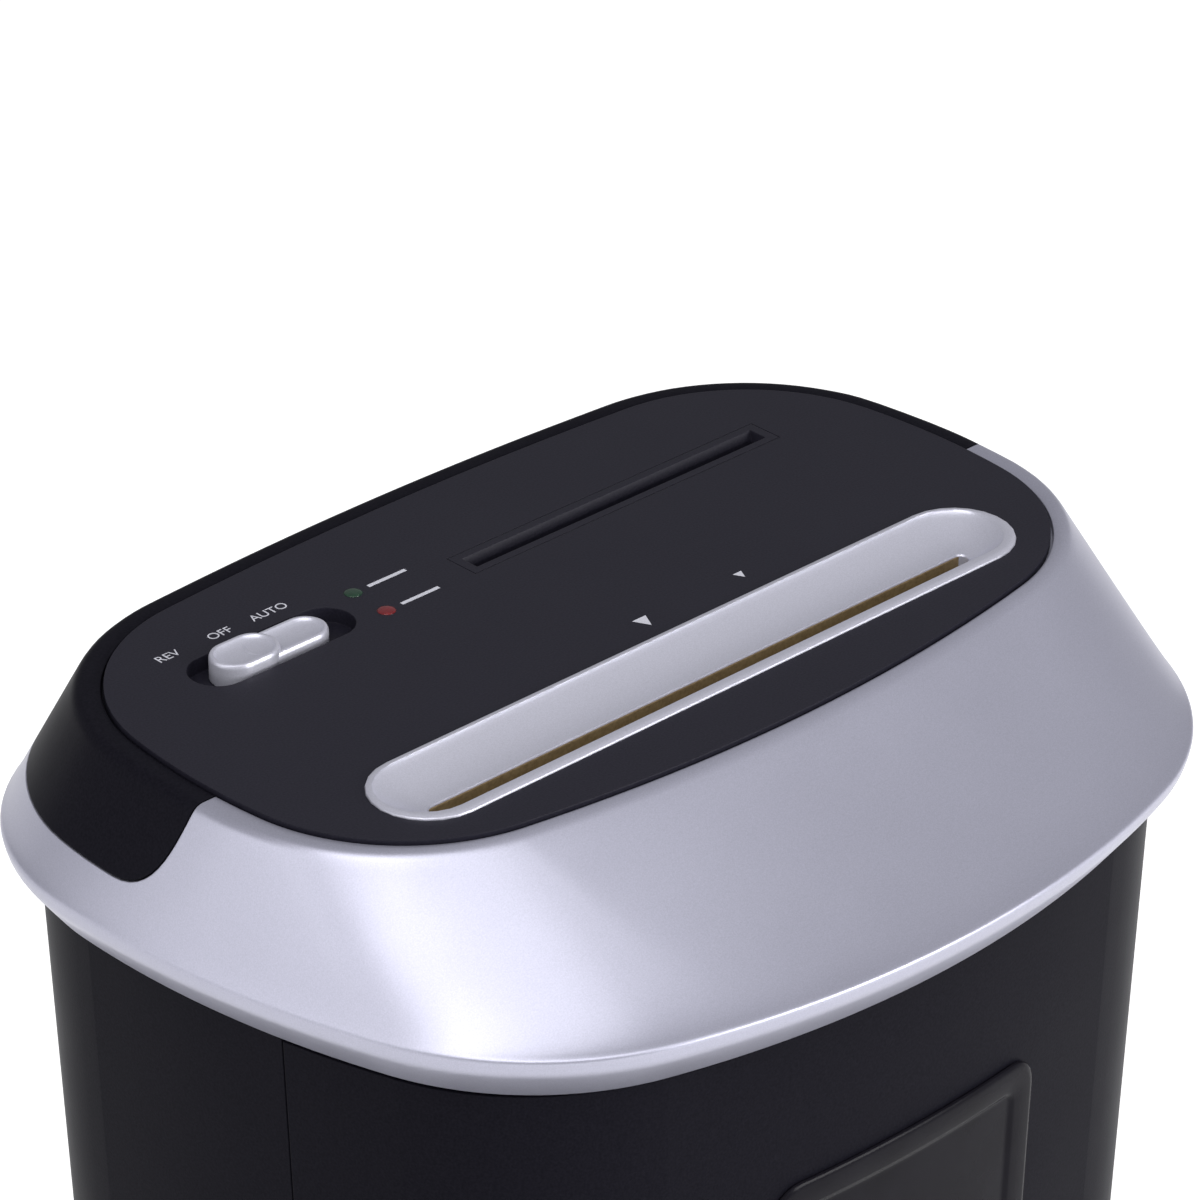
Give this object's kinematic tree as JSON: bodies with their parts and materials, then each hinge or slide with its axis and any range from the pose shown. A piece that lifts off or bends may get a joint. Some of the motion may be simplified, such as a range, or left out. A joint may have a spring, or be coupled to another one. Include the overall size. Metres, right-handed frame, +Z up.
{
  "type": "paper shredder",
  "caption": "Upright office shredder: silver head with a paper slot, disc slot and slide switch on a tapered black cabinet with a pull-out windowed bin and a geared cutter drive inside.",
  "frame": {"origin": "on the floor under the middle of the head", "axes": "+X to the right as seen from the front, +Y to the back, +Z up"},
  "size_m": [0.358, 0.277, 0.5333],
  "materials": {
    "silver_paint": "satin metallic paint on moulded plastic",
    "silver_trim": "satin metallic paint on moulded plastic",
    "charcoal_plastic": "satin moulded plastic",
    "black_plastic": "satin moulded plastic",
    "inner_plastic": "plain moulded plastic",
    "bucket_plastic": "plain moulded plastic",
    "smoked_window": "smoked clear plastic",
    "green_lens": "clear tinted plastic",
    "red_lens": "clear tinted plastic",
    "circuit_board": "coated laminate",
    "rubber": "plain",
    "plate_steel": "zinc plated",
    "rod_steel": "turned",
    "cutter_steel": "hardened and ground",
    "gear_plastic": "moulded acetal",
    "motor_paint": "plain"
  },
  "bodies": {
    "frame": {"front_bezel": "silver_paint", "paper_throat": "silver_trim", "top_panel": "charcoal_plastic", "disc_chute": "charcoal_plastic", "rear_cover": "black_plastic", "cabinet": "black_plastic", "cabinet_floor": "black_plastic", "head_base": "inner_plastic", "slide_switch": "inner_plastic", "paper_sensor": "inner_plastic", "front_strippers": "inner_plastic", "rear_strippers": "inner_plastic", "motor_saddle": "inner_plastic", "interlock_switch": "inner_plastic", "power_lens": "green_lens", "overheat_lens": "red_lens", "control_board": "circuit_board", "feet": "rubber", "cord_gland": "rubber", "left_plate": "plate_steel", "right_plate": "plate_steel", "disc_plate": "plate_steel", "gear_bracket": "plate_steel", "tie_rods": "rod_steel", "disc_tie_rods": "rod_steel", "bracket_posts": "rod_steel", "gear_pins": "rod_steel", "paper_bushes": "gear_plastic", "disc_bushes": "gear_plastic", "motor_body": "motor_paint"},
    "rear_cutter": {"rear_shaft": "rod_steel", "rear_cutters": "cutter_steel", "rear_sync_gear": "gear_plastic", "cross_drive_gear": "gear_plastic", "final_gear": "gear_plastic"},
    "front_cutter": {"front_shaft": "rod_steel", "front_cutters": "cutter_steel", "front_sync_gear": "gear_plastic"},
    "disc_front": {"disc_front_shaft": "rod_steel", "disc_front_cutters": "cutter_steel", "cross_driven_gear": "gear_plastic", "disc_front_sync_gear": "gear_plastic"},
    "disc_rear": {"disc_rear_shaft": "rod_steel", "disc_rear_cutters": "cutter_steel", "disc_rear_sync_gear": "gear_plastic"},
    "second_wheel": {"second_gear": "gear_plastic"},
    "first_wheel": {"first_gear": "gear_plastic"},
    "rotor": {"motor_rotor": "rod_steel", "cooling_fan": "inner_plastic"},
    "knob": {"switch_knob": "silver_trim"},
    "bin": {"bin_front": "black_plastic", "bin_window": "smoked_window", "bin_bucket": "bucket_plastic"},
    "plunger": {"interlock_plunger": "inner_plastic"}
  },
  "joints": [
    {"name": "rear_cutter_spin", "type": "hinge", "parent": "frame", "child": "rear_cutter", "pos_m": [0, -0.0125, 0.482], "axis": [1, 0, 0], "continuous": true},
    {"name": "front_cutter_spin", "type": "hinge", "parent": "frame", "child": "front_cutter", "pos_m": [0, -0.0485, 0.482], "axis": [1, 0, 0], "continuous": true},
    {"name": "disc_front_spin", "type": "hinge", "parent": "frame", "child": "disc_front", "pos_m": [0, 0.0505, 0.482], "axis": [1, 0, 0], "continuous": true},
    {"name": "disc_rear_spin", "type": "hinge", "parent": "frame", "child": "disc_rear", "pos_m": [0, 0.0745, 0.482], "axis": [1, 0, 0], "continuous": true},
    {"name": "second_wheel_spin", "type": "hinge", "parent": "frame", "child": "second_wheel", "pos_m": [0, 0.02697, 0.49636], "axis": [1, 0, 0], "continuous": true},
    {"name": "first_wheel_spin", "type": "hinge", "parent": "frame", "child": "first_wheel", "pos_m": [0, 0.05025, 0.47682], "axis": [1, 0, 0], "continuous": true},
    {"name": "rotor_spin", "type": "hinge", "parent": "frame", "child": "rotor", "pos_m": [0, 0.07281, 0.46862], "axis": [1, 0, 0], "continuous": true},
    {"name": "knob_slide", "type": "slide", "parent": "frame", "child": "knob", "axis": [1, 0, 0], "range_m": [-0.006, 0.008]},
    {"name": "bin_slide", "type": "slide", "parent": "frame", "child": "bin", "axis": [0, -1, 0], "range_m": [0, 0.23]},
    {"name": "plunger_slide", "type": "slide", "parent": "frame", "child": "plunger", "axis": [0, -1, 0], "range_m": [0, 0.003]}
  ],
  "couplings": [
    {"joint": "front_cutter_spin", "follows": "rear_cutter_spin", "ratio": -1},
    {"joint": "disc_front_spin", "follows": "rear_cutter_spin", "ratio": -1},
    {"joint": "disc_rear_spin", "follows": "rear_cutter_spin", "ratio": 1},
    {"joint": "second_wheel_spin", "follows": "rear_cutter_spin", "ratio": -3.2},
    {"joint": "first_wheel_spin", "follows": "rear_cutter_spin", "ratio": 9.6},
    {"joint": "rotor_spin", "follows": "rear_cutter_spin", "ratio": -28.8},
    {"joint": "plunger_slide", "follows": "bin_slide", "ratio": 0.013}
  ]
}
